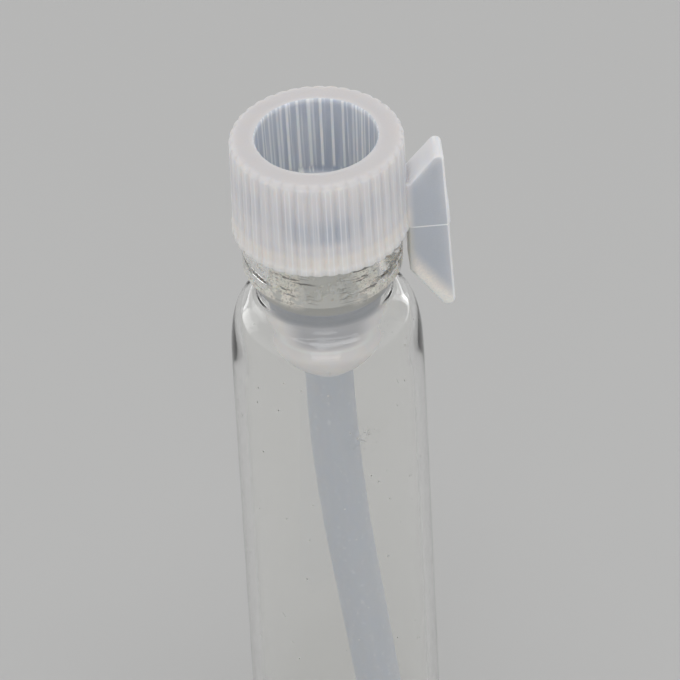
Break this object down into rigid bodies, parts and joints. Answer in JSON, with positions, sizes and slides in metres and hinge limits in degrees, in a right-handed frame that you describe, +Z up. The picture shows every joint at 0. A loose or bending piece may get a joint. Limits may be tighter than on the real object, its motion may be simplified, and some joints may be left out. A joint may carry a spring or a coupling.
{
  "type": "glass sample vial",
  "caption": "Small clear glass tube with a lipped neck, closed by a ribbed milky plastic stopper with a side wing, a round bulb and a curved dipping rod.",
  "frame": {"origin": "middle of the vial's flat underside, on the axis of the glass", "axes": "+Z up along the axis of the glass, out through the stopper; +X toward the stopper's wing"},
  "size_m": [0.0111, 0.0094, 0.0404],
  "materials": {
    "glass": "clear fire-polished glass",
    "milky_plastic": "unpigmented low-density polyethylene, satin, translucent"
  },
  "bodies": {
    "vial": {"vial": "glass"},
    "stopper": {"stopper": "milky_plastic"}
  },
  "joints": [
    {"name": "stopper_pull", "type": "slide", "parent": "vial", "child": "stopper", "axis": [0, 0, 1], "range_m": [0, 0.032]}
  ]
}
